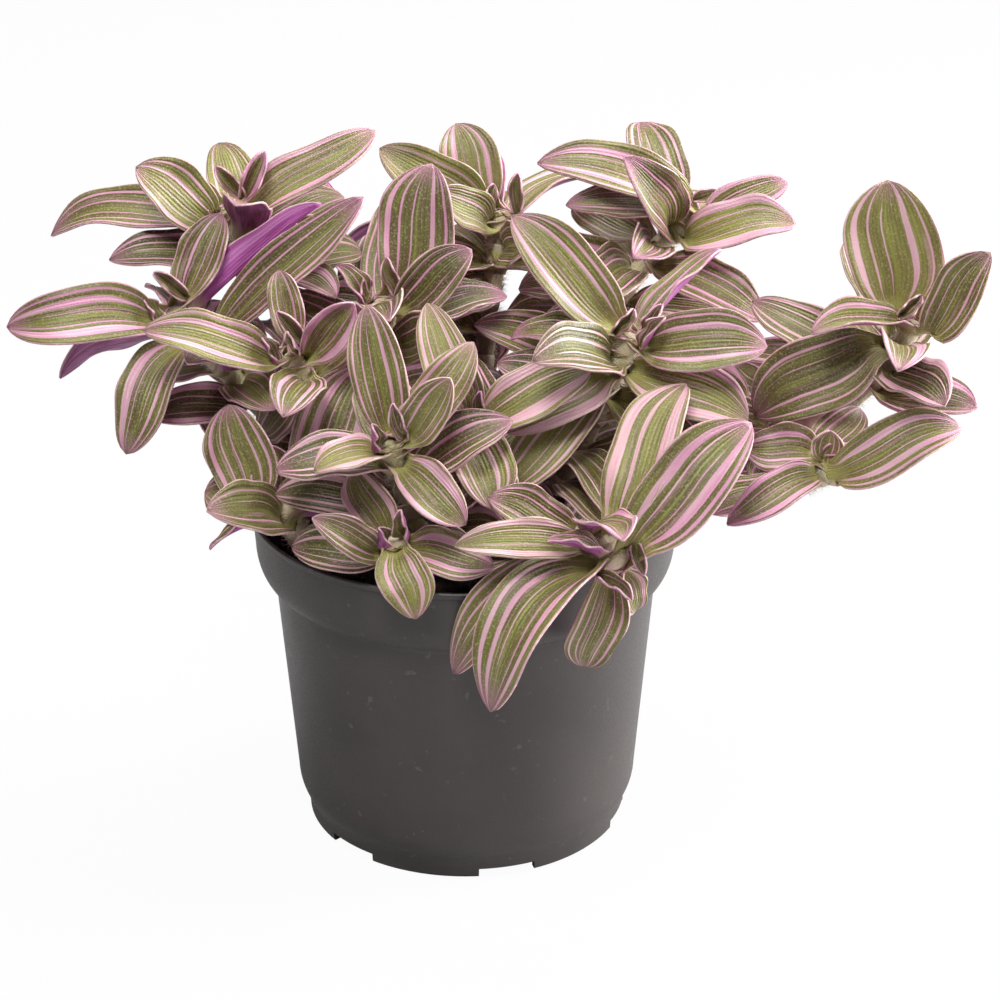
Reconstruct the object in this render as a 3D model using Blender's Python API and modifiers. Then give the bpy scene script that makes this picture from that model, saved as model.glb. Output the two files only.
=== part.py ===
"""A potted tradescantia: a nursery pot, its potting mix, and fifteen leafy shoots.

Metres, +Z up. The origin is on the pot's axis, on the surface that the pot stands on, and the
plant's front is towards -Y. Each shoot is a stem and the leaves that grow from it.
"""

import math
from collections import namedtuple

import bmesh
import bpy
from mathutils import Vector
from mathutils.bvhtree import BVHTree

MM = 0.001

# Driving dimensions
POT_HEIGHT = 95 * MM
RIM_RADIUS = 60 * MM
COLLAR_HEIGHT = 20 * MM
STEP_RADIUS = 53.5 * MM
HEEL_RADIUS = 48.5 * MM
HEEL_HEIGHT = 14 * MM
FOOT_RADIUS = 45.5 * MM
WALL = 1.2 * MM
FLOOR_LIFT = 3 * MM
CENTRE_PAD_RADIUS = 14 * MM
NOTCH_WIDTH = 16 * MM
NOTCHES = 6
FIRST_NOTCH_DEGREES = -75
DRAIN_RADIUS = 4 * MM
DRAIN_CIRCLE_RADIUS = 30 * MM
SOIL_TOP = 84 * MM
SOIL_CROWN = 2 * MM
GAP = 0.4 * MM
ROUND_STEPS = 48

LEAF_THICKNESS = 0.9 * MM
LEAF_ROWS = 8
LEAF_COLUMNS = 4
BASE_SHARE = 0.35  # the blade's width where it meets the stem, as a share of its widest
LEAF_BASE_FOLD = 28  # degrees by which a leaf's halves close up round the stem, at its base
LEAF_CLEARANCE = 0.5 * MM
TIP_HALF_WIDTH = 0.4 * MM
BASE_HALF_WIDTH_LEAST = 2 * MM

STEM_SPACING = 9 * MM
STEM_RESOLUTION = 2

POT_COLOUR = (0.075, 0.068, 0.068)
SOIL_COLOUR = (0.03, 0.019, 0.011)
STEM_COLOUR = (0.42, 0.42, 0.16)
LEAF_COLOURS = ((0.14, 0.16, 0.055), (0.20, 0.20, 0.09), (0.34, 0.20, 0.22))

# A leaf grows from a stem, below_tip mm down from the stem's tip, and ends at the point tip.
# arch is how far its midrib bows out on the upper side, as a share of its length. The upper side
# faces up, leaning front degrees towards -Y and right degrees towards +X. fold is how far each
# half of the blade is lifted, in degrees. Lengths are in mm.
Leaf = namedtuple("Leaf", "name below_tip tip width arch front right fold")
Shoot = namedtuple("Shoot", "name radius route leaves")

SHOOTS = (
    Shoot("front_right", 3.4, ((20, -28), (26, -37, 98), (34, -48, 105), (40, -57, 103)), (
        Leaf("long", 2, (6, -77, 69), 21, 0.30, 40, -35, 8),
        Leaf("hanging", 10, (-3, -67, 74), 15, 0.30, 50, -30, 6),
        Leaf("rising", 0, (75, -42, 136), 21, 0.10, 60, -20, 12),
        Leaf("pale", 6, (59, -24, 139), 19, 0.12, 50, -35, 10),
    )),
    Shoot("front_centre", 2.4, ((-8, -20), (-14, -34, 106), (-19, -44, 131)), (
        Leaf("upright", 1, (-25, -38, 164), 15, 0.06, 70, 0, 12),
        Leaf("lower", 6, (1, -62, 116), 13, 0.12, 55, 0, 8),
    )),
    Shoot("front_low", 2.2, ((-15, -38), (-17, -46, 98), (-18, -51, 106)), (
        Leaf("hanging", 0, (-12, -66, 91), 14, 0.22, 55, 0, 4),
    )),
    Shoot("centre", 2.4, ((5, -6), (4, -18, 108), (2, -29, 129)), (
        Leaf("broad", 0, (34, -24, 144), 16, 0.10, 45, -10, 8),
        Leaf("front", 2, (8, -50, 115), 17, 0.16, 55, 10, 12),
    )),
    Shoot("rim_left", 3.0, ((-39, -25), (-44, -27, 96), (-50, -24, 108)), (
        Leaf("upright", 0, (-63, -14, 131), 19, 0.05, 70, -10, 14),
        Leaf("outer", 1, (-70, -38, 107), 15, 0.12, 50, 0, 8),
        Leaf("inner", 3, (-27, -6, 137), 22, 0.08, 60, 10, 10),
    )),
    Shoot("left_centre", 2.3, ((-22, -4), (-34, -6, 118), (-47, -11, 143)), (
        Leaf("outer", 1, (-85, -20, 154), 14, 0.14, 45, 0, 8),
        Leaf("folded", 4, (-29, -13, 158), 14, 0.04, 50, 30, 30),
    )),
    Shoot("left", 2.6, ((-34, 8), (-54, 8, 116), (-70, 3, 138), (-79, 1, 150)), (
        Leaf("outer", 0, (-124, -8, 150), 17, 0.18, 50, 0, 8),
        Leaf("upright", 0, (-66, 14, 174), 14, 0.05, 65, -20, 20),
        Leaf("folded", 4, (-39, 2, 180), 13, 0.02, -40, 10, 35),
        Leaf("long", 14, (-27, 24, 179), 15, 0.05, 50, -20, 14),
        Leaf("hanging", 9, (-92, -18, 116), 16, 0.20, 50, -20, 8),
    )),
    Shoot("back_left", 2.4, ((-24, 18), (-42, 24, 125), (-58, 27, 155), (-66, 28, 170)), (
        Leaf("round", 0, (-89, 18, 186), 17, 0.08, 55, 10, 8),
        Leaf("outer", 3, (-118, 30, 165), 15, 0.16, 30, 0, 10),
        Leaf("top", 14, (-71, 52, 181), 15, 0.12, 30, 0, 6),
        Leaf("pale", 5, (-25, 44, 189), 14, 0.05, 40, 0, 10),
    )),
    Shoot("crown", 2.4, ((-8, 8), (-18, 6, 120), (-23, 9, 150)), (
        Leaf("broad", 0, (-9, 24, 185), 22, 0.04, 70, 0, 8),
        Leaf("back", 6, (-20, 34, 172), 15, 0.10, 40, 0, 10),
    )),
    Shoot("right_centre", 2.5, ((21, -4), (32, -6, 115), (45, -10, 147)), (
        Leaf("tall", 0, (13, 0, 179), 18, 0.06, 60, 20, 8),
        Leaf("outer", 1, (81, -20, 149), 18, 0.14, 50, 0, 6),
        Leaf("folded", 2, (70, -3, 165), 12, 0.06, 10, -30, 30),
        Leaf("inner", 11, (11, -38, 128), 17, 0.12, 50, 0, 6),
        Leaf("lower", 9, (76, -24, 129), 18, 0.12, 45, 0, 8),
    )),
    Shoot("back_right", 2.4, ((18, 20), (36, 32, 128), (54, 42, 154), (66, 45, 162)), (
        Leaf("arched", 0, (20, 40, 180), 16, 0.16, 40, 0, 6),
        Leaf("outer", 0, (91, 46, 173), 13, 0.08, 40, 0, 16),
        Leaf("rear", 9, (84, 84, 148), 16, 0.16, -20, 20, 8),
    )),
    Shoot("far_right", 2.5, ((38, 6), (60, 9, 110), (88, 7, 113), (110, 2, 128), (122, 0, 147)), (
        Leaf("broad", 0, (114, 12, 184), 27, 0.06, 70, 0, 10),
        Leaf("outer", 0, (140, -6, 170), 15, 0.06, 60, -20, 18),
        Leaf("folded", 1, (93, -12, 149), 13, 0.10, 20, 0, 28),
        Leaf("long", 9, (79, 0, 120), 22, 0.10, 55, 0, 6),
    )),
    Shoot("right_low", 2.5, ((38, -14), (56, -18, 106), (78, -18, 102), (99, -15, 110)), (
        Leaf("outer", 0, (134, -22, 127), 16, 0.14, 50, 0, 8),
    )),
    Shoot("rear", 2.4, ((2, 26), (6, 36, 130), (10, 42, 164)), (
        Leaf("tall", 0, (-3, 56, 187), 18, 0.08, 60, 0, 8),
        Leaf("right", 4, (48, 78, 160), 16, 0.18, -20, 10, 8),
        Leaf("outer", 8, (8, 92, 148), 17, 0.20, -40, 0, 8),
    )),
    Shoot("rear_left", 2.4, ((-22, 30), (-34, 46, 120), (-46, 58, 144)), (
        Leaf("outer", 0, (-88, 72, 142), 16, 0.18, -20, -20, 8),
        Leaf("rear", 3, (-48, 100, 132), 17, 0.20, -40, 0, 8),
    )),
)

# Where a leaf's tip may settle to clear its neighbours, nearest first, in mm
SETTLING = sorted(
    ((x, y, z) for x in (-9, -6, -3, 0, 3, 6, 9) for y in range(-16, 17, 4) for z in range(-9, 10, 3)),
    key=lambda move: 3 * abs(move[0]) + abs(move[1]) + 2 * abs(move[2]) + abs(move[1] * 0.45 + move[2]),
)


def new_collection(name):
    collection = bpy.data.collections.new(name)
    bpy.context.scene.collection.children.link(collection)
    return collection


def new_material(name, colour, roughness):
    material = bpy.data.materials.new(name)
    material.use_nodes = True
    shader = material.node_tree.nodes["Principled BSDF"]
    shader.inputs["Base Color"].default_value = (*colour, 1)
    shader.inputs["Roughness"].default_value = roughness
    shader.inputs["Metallic"].default_value = 0
    material.diffuse_color = (*colour, 1)
    return material


def new_object(name, data, collection, material=None):
    obj = bpy.data.objects.new(name, data)
    collection.objects.link(obj)
    if material:
        data.materials.append(material)
    return obj


def arc(centre, radii, start, end, count):
    """Points (radius, height) on a quarter or less of an ellipse, angles in degrees."""
    for step in range(count):
        angle = math.radians(start + (end - start) * step / (count - 1))
        yield centre[0] + radii[0] * math.cos(angle), centre[1] + radii[1] * math.sin(angle)


def turned(name, profile, collection, material):
    """A solid of revolution from (radius, height) points that run down the outer side first."""
    mesh = bpy.data.meshes.new(name)
    points = [(radius, 0, height) for radius, height in profile]
    mesh.from_pydata(points, [(i, i + 1) for i in range(len(points) - 1)], [])
    obj = new_object(name, mesh, collection, material)
    screw = obj.modifiers.new("Turn", "SCREW")
    screw.steps = ROUND_STEPS
    screw.render_steps = ROUND_STEPS
    screw.use_merge_vertices = True
    screw.merge_threshold = 0.00001
    screw.use_smooth_shade = True
    return obj


def outer_wall(count=5):
    """The pot's outer side from the rim down to the foot, as (radius, height) points."""
    step = POT_HEIGHT - COLLAR_HEIGHT
    flare = 0.5 * COLLAR_HEIGHT
    bulge = RIM_RADIUS - 0.8 * MM
    yield RIM_RADIUS, POT_HEIGHT
    yield RIM_RADIUS, POT_HEIGHT - 1.5 * MM
    yield bulge, POT_HEIGHT - 2 * MM
    yield from arc((STEP_RADIUS, step + flare), (bulge - STEP_RADIUS - 0.6 * MM, flare), 0, -70, count)
    yield STEP_RADIUS, step
    yield from arc((HEEL_RADIUS - HEEL_HEIGHT, HEEL_HEIGHT), (HEEL_HEIGHT, HEEL_HEIGHT), 0, -30, 4)
    yield FOOT_RADIUS, FLOOR_LIFT
    yield FOOT_RADIUS, 0


def inner_radius(height):
    """The inside radius of the wall at a height, found from the outer side."""
    points = list(outer_wall())
    for (upper_radius, upper), (lower_radius, lower) in zip(points, points[1:]):
        if lower <= height < upper:
            share = (height - lower) / (upper - lower)
            return lower_radius + share * (upper_radius - lower_radius) - WALL
    return RIM_RADIUS - WALL


def inside_wall():
    """The pot's inner side from the rim down to the floor, as (radius, height) points."""
    floor_top = FLOOR_LIFT + WALL
    for radius, height in outer_wall():
        if height > floor_top + WALL:
            yield radius - WALL, height
    yield inner_radius(floor_top) - WALL, floor_top


def pot_profile():
    return [
        *outer_wall(),
        (FOOT_RADIUS - 2 * WALL, 0),
        (FOOT_RADIUS - 2 * WALL, FLOOR_LIFT),
        (CENTRE_PAD_RADIUS, FLOOR_LIFT),
        (CENTRE_PAD_RADIUS, 0),
        (0, 0),
        (0, FLOOR_LIFT + WALL),
        *reversed(list(inside_wall())),
        (RIM_RADIUS, POT_HEIGHT),
    ]


def cut(obj, cutter):
    boolean = obj.modifiers.new("Cut", "BOOLEAN")
    boolean.operation = "DIFFERENCE"
    boolean.object = cutter
    cutter.hide_render = True
    cutter.display_type = "WIRE"


def cutter_of(name, bm, collection):
    mesh = bpy.data.meshes.new(name)
    bm.to_mesh(mesh)
    bm.free()
    return new_object(name, mesh, collection)


def box_ring(name, collection):
    """The boxes that cut the notches in the pot's foot, joined in one mesh."""
    bm = bmesh.new()
    depth = 8 * MM
    for index in range(NOTCHES):
        angle = math.radians(FIRST_NOTCH_DEGREES + 360 * index / NOTCHES)
        made = bmesh.ops.create_cube(bm, size=1)["verts"]
        bmesh.ops.scale(bm, vec=(depth, NOTCH_WIDTH, 2 * FLOOR_LIFT - GAP), verts=made)
        bmesh.ops.translate(bm, vec=(FOOT_RADIUS, 0, 0), verts=made)
        turn = ((math.cos(angle), -math.sin(angle), 0), (math.sin(angle), math.cos(angle), 0), (0, 0, 1))
        for vert in made:
            vert.co = Vector([sum(a * b for a, b in zip(row, vert.co)) for row in turn])
    return cutter_of(name, bm, collection)


def drain_ring(name, collection):
    """The cylinders that cut the drain holes through the pot's floor, joined in one mesh."""
    bm = bmesh.new()
    for index in range(NOTCHES):
        angle = math.radians(FIRST_NOTCH_DEGREES + 360 * (index + 0.5) / NOTCHES)
        made = bmesh.ops.create_cone(
            bm, cap_ends=True, segments=16, radius1=DRAIN_RADIUS, radius2=DRAIN_RADIUS, depth=6 * WALL
        )["verts"]
        centre = (DRAIN_CIRCLE_RADIUS * math.cos(angle), DRAIN_CIRCLE_RADIUS * math.sin(angle), FLOOR_LIFT)
        bmesh.ops.translate(bm, vec=centre, verts=made)
    return cutter_of(name, bm, collection)


def build_pot(parts, cutters):
    pot = turned("pot", pot_profile(), parts, new_material("pot_plastic", POT_COLOUR, 0.55))
    cut(pot, box_ring("foot_notches", cutters))
    cut(pot, drain_ring("drain_holes", cutters))
    return pot


def build_soil(parts):
    """The mix fills the pot up to its top, a little lower at the wall than in the middle."""
    edge = SOIL_TOP - SOIL_CROWN
    profile = [
        (0, SOIL_TOP),
        (0.8 * inner_radius(SOIL_TOP), SOIL_TOP),
        (inner_radius(edge) - 2 * GAP, edge),
        *((radius - 2 * GAP, height + GAP) for radius, height in inside_wall() if height < edge),
        (0, FLOOR_LIFT + WALL + GAP),
    ]
    return turned("potting_mix", profile, parts, new_material("potting_mix", SOIL_COLOUR, 0.95))


def smooth_route(points, spacing):
    """Points about spacing apart on a Catmull-Rom curve through the given ones."""
    ends = [2 * points[0] - points[1], *points, 2 * points[-1] - points[-2]]
    route = []
    for before, start, end, after in zip(ends, ends[1:], ends[2:], ends[3:]):
        count = max(2, round((end - start).length / spacing))
        for step in range(count):
            t = step / count
            route.append(0.5 * (
                2 * start + (end - before) * t
                + (2 * before - 5 * start + 4 * end - after) * t * t
                + (3 * start - before - 3 * end + after) * t * t * t
            ))
    return [*route, points[-1]]


def stem_route(shoot):
    """A stem's axis: it leaves the soil straight up, then bends through the shoot's own points."""
    root = Vector((*shoot.route[0], 0)) * MM
    root.z = SOIL_TOP + GAP
    rise = root + Vector((0, 0, 4 * MM))
    others = [Vector(point) * MM for point in shoot.route[1:]]
    return [root, *smooth_route([rise, *others], STEM_SPACING)]


def build_stem(shoot, route, parts, material):
    curve = bpy.data.curves.new("stem", "CURVE")
    curve.dimensions = "3D"
    curve.bevel_depth = shoot.radius * MM
    curve.bevel_resolution = STEM_RESOLUTION
    curve.use_fill_caps = True
    spline = curve.splines.new("POLY")
    spline.points.add(len(route) - 1)
    for point, place in zip(spline.points, route):
        point.co = (*place, 1)
    spline.use_smooth = True
    return new_object(f"stem_{shoot.name}", curve, parts, material)


def along_from_tip(route, distance):
    """The point, and the direction towards the tip, at a distance back from a route's end."""
    for upper, lower in zip(reversed(route), reversed(route[:-1])):
        step = (upper - lower).length
        if distance <= step:
            return upper.lerp(lower, distance / step), (upper - lower).normalized()
        distance -= step
    return route[0], Vector((0, 0, 1))


def blade_profile(along):
    """Half the blade's width at a share of its length, as a share of the widest."""
    return max((1 - abs(2 * along**0.85 - 1) ** 2.2) ** 0.8, BASE_SHARE * (1 - along))


def facing(leaf):
    """The way that the leaf's upper side would face if nothing pulled it round."""
    side = math.tan(math.radians(leaf.right))
    if abs(leaf.front) < 90:
        return Vector((side, -math.tan(math.radians(leaf.front)), 1)).normalized()
    return Vector((side, -math.copysign(1, leaf.front), 0)).normalized()


def blade_frame(leaf, shoot, route, tip):
    """Where the blade starts, its chord, and its upper side's direction."""
    node, axis = along_from_tip(route, leaf.below_tip * MM)
    outward = tip - node
    outward = (outward - outward.dot(axis) * axis).normalized()
    chord = (tip - node).normalized()
    up = facing(leaf)
    up = (up - up.dot(chord) * chord).normalized()
    across = chord.cross(up)
    half_base = max(blade_profile(0) * leaf.width * MM / 2, BASE_HALF_WIDTH_LEAST)
    reach = shoot.radius * MM + abs(across.dot(outward)) * half_base + LEAF_THICKNESS + GAP
    return node + reach * outward, chord, up


def blade_point(leaf, start, tip, up, across, along):
    """A point of the blade: across runs from -1 to 1 between its edges, along from 0 to 1."""
    span = tip - start
    length = span.length
    chord = span / length
    up = (up - up.dot(chord) * chord).normalized()
    bow = 4 * leaf.arch
    middle = start + span * along + up * (bow * along * (1 - along) * length)
    tangent = (chord + up * (bow * (1 - 2 * along))).normalized()
    up_here = (up - up.dot(tangent) * tangent).normalized()
    side = tangent.cross(up_here)
    fold = math.radians(leaf.fold + LEAF_BASE_FOLD * (1 - along) ** 4)
    half = max(blade_profile(along) * leaf.width * MM / 2, TIP_HALF_WIDTH)
    return middle + side * (half * across * math.cos(fold)) + up_here * (half * abs(across) * math.sin(fold))


def blade_sheet(leaf, start, tip, up, lift=0.0):
    """The blade's points, column by column along each row, raised by lift towards its upper side."""
    points = []
    for row in range(LEAF_ROWS):
        along = row / (LEAF_ROWS - 1)
        for column in range(LEAF_COLUMNS + 1):
            across = 2 * column / LEAF_COLUMNS - 1
            points.append(blade_point(leaf, start, tip, up, across, along) + up * lift)
    return points


def sheet_faces():
    width = LEAF_COLUMNS + 1
    return [
        (row * width + column, row * width + column + 1, (row + 1) * width + column + 1, (row + 1) * width + column)
        for row in range(LEAF_ROWS - 1)
        for column in range(LEAF_COLUMNS)
    ]


def blade_hull(leaf, start, tip, up):
    """A search tree of the blade's two sides, each a clearance outside the real surface."""
    lift = LEAF_THICKNESS / 2 + LEAF_CLEARANCE
    upper = blade_sheet(leaf, start, tip, up, lift)
    lower = blade_sheet(leaf, start, tip, up, -lift)
    faces = sheet_faces()
    rest = [tuple(index + len(upper) for index in face) for face in faces]
    return BVHTree.FromPolygons(upper + lower, faces + rest)


def settle(leaf, shoot, route, placed):
    """The leaf's start, tip and upper direction, with its tip moved until it clears its neighbours."""
    best = None
    for move in SETTLING:
        tip = (Vector(leaf.tip) + Vector(move)) * MM
        start, _, up = blade_frame(leaf, shoot, route, tip)
        hull = blade_hull(leaf, start, tip, up)
        crossings = sum(len(hull.overlap(other)) for other in placed)
        if best is None or crossings < best[0]:
            best = (crossings, start, tip, up, hull)
        if crossings == 0:
            break
    return best


def build_leaf(name, leaf, start, tip, up, parts, material):
    """A grid shaped into the blade, then thickened."""
    bm = bmesh.new()
    bmesh.ops.create_grid(bm, x_segments=LEAF_COLUMNS, y_segments=LEAF_ROWS - 1, size=1)
    for vert in bm.verts:
        across, along = vert.co.x, (vert.co.y + 1) / 2
        vert.co = blade_point(leaf, start, tip, up, across, along)
    for face in bm.faces:
        face.smooth = True
    mesh = bpy.data.meshes.new(name)
    bm.to_mesh(mesh)
    bm.free()
    obj = new_object(name, mesh, parts, material)
    solid = obj.modifiers.new("Thickness", "SOLIDIFY")
    solid.thickness = LEAF_THICKNESS
    solid.offset = 0
    return obj


def search_tree(obj, graph):
    evaluated = obj.evaluated_get(graph)
    mesh = evaluated.to_mesh()
    points = [obj.matrix_world @ vert.co for vert in mesh.vertices]
    faces = [tuple(face.vertices) for face in mesh.polygons]
    evaluated.to_mesh_clear()
    return BVHTree.FromPolygons(points, faces)


def main():
    for obj in list(bpy.data.objects):
        bpy.data.objects.remove(obj)
    parts = new_collection("potted_tradescantia")
    cutters = new_collection("cutters")
    fixed = [build_pot(parts, cutters), build_soil(parts)]
    stem_material = new_material("stem", STEM_COLOUR, 0.5)
    leaf_materials = [
        new_material(f"leaf_{index + 1}", colour, 0.45) for index, colour in enumerate(LEAF_COLOURS)
    ]
    routes = {shoot.name: stem_route(shoot) for shoot in SHOOTS}
    fixed += [build_stem(shoot, routes[shoot.name], parts, stem_material) for shoot in SHOOTS]
    bpy.context.view_layer.update()
    graph = bpy.context.evaluated_depsgraph_get()
    placed = [search_tree(obj, graph) for obj in fixed]
    for shoot in SHOOTS:
        for index, leaf in enumerate(shoot.leaves):
            crossings, start, tip, up, hull = settle(leaf, shoot, routes[shoot.name], placed)
            if crossings:
                print(f"leaf_{shoot.name}_{leaf.name} still crosses {crossings} faces")
            placed.append(hull)
            build_leaf(
                f"leaf_{shoot.name}_{leaf.name}", leaf, start, tip, up, parts,
                leaf_materials[index % len(leaf_materials)],
            )


main()
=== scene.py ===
"""The looks of the potted tradescantia: striped leaves on hairy stems, in a grey nursery pot."""
import math
import random
from collections import namedtuple

import bmesh
import bpy
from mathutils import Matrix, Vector, noise
from mathutils.bvhtree import BVHTree


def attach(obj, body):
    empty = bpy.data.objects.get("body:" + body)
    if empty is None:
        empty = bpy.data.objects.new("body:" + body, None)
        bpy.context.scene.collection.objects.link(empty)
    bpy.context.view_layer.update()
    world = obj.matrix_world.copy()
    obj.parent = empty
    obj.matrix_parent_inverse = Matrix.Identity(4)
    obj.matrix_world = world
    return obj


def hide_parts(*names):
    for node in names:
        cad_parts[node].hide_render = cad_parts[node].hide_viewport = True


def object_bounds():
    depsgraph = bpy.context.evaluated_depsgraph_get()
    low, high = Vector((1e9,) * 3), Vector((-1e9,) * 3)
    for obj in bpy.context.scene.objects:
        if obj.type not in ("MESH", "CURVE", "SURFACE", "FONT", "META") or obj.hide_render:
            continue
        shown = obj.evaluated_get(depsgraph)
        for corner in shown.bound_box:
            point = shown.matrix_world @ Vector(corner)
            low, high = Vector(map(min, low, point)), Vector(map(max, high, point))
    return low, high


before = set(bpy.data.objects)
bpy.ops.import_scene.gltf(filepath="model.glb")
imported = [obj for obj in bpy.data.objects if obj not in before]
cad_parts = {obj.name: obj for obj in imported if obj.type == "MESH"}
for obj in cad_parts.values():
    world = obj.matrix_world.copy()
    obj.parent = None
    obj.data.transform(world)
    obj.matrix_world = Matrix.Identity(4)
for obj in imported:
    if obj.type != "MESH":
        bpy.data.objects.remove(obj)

cad_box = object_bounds()
MM = 0.001

# The pot and its mix, the same as the CAD's
POT_HEIGHT = 95 * MM
RIM_RADIUS = 60 * MM
COLLAR_HEIGHT = 20 * MM
STEP_RADIUS = 53.5 * MM
HEEL_RADIUS = 48.5 * MM
HEEL_HEIGHT = 14 * MM
FOOT_RADIUS = 45.5 * MM
WALL = 1.2 * MM
FLOOR_LIFT = 3 * MM
CENTRE_PAD_RADIUS = 14 * MM
NOTCH_WIDTH = 16 * MM
NOTCHES = 6
FIRST_NOTCH_DEGREES = -75
SOIL_TOP = 84 * MM
GAP = 0.4 * MM
STEM_SPACING = 9 * MM

# The blades
CAD_THICKNESS = 0.9 * MM
BLADE_THICKNESS = 0.55 * MM
BASE_SHARE = 0.35
BASE_FOLD = 28
EXTRA_FOLD = 5
BASE_HALF_WIDTH_LEAST = 2 * MM
TIP_HALF_WIDTH = 0.12 * MM
BLADE_ROWS = 30
BLADE_COLUMNS = 16
CLASP = 0.10  # the share of a blade's length over which it opens out from the stem
CLASP_TURN = math.radians(115)
CLEARANCE = 0.5 * MM
EDGE_WAVE = 0.85 * MM
WAVES = 12.6

# The stems: each swells below a node, and a sheath of (height from the node in mm, share of the
# stem's radius) wraps it there
STEM_SIDES = 16
SWELL = 0.18
SWELL_CENTRE = 3
SWELL_REACH = 2.5
SHEATH = ((-7, 1.02), (-5, 1.1), (-3, 1.16), (-1, 1.2), (0.2, 1.1), (0.9, 0.5))
SHEATH_LEAST_WIDTH = 11
HAIR_RADIUS = 0.05 * MM
HAIRS_PER_MM = 5

# The foot's notches, the loose crumbs on the mix, and the turned steps of the pot
NOTCH_DEPTH = 8 * MM
CRUMBS = 700
POT_STEPS = 144

# A leaf leaves its stem below_tip mm from the tip and ends at the point tip (None: where the CAD leaf
# ends). front and right are the tilts of its upper side in degrees, arch its bow as a share of its
# length. look is its pattern, tone runs from dark olive (0) to pale (1), blush from cream to magenta.
Leaf = namedtuple("Leaf", "name below_tip tip width arch front right fold look tone blush")
Shoot = namedtuple("Shoot", "name radius route leaves")

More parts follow.
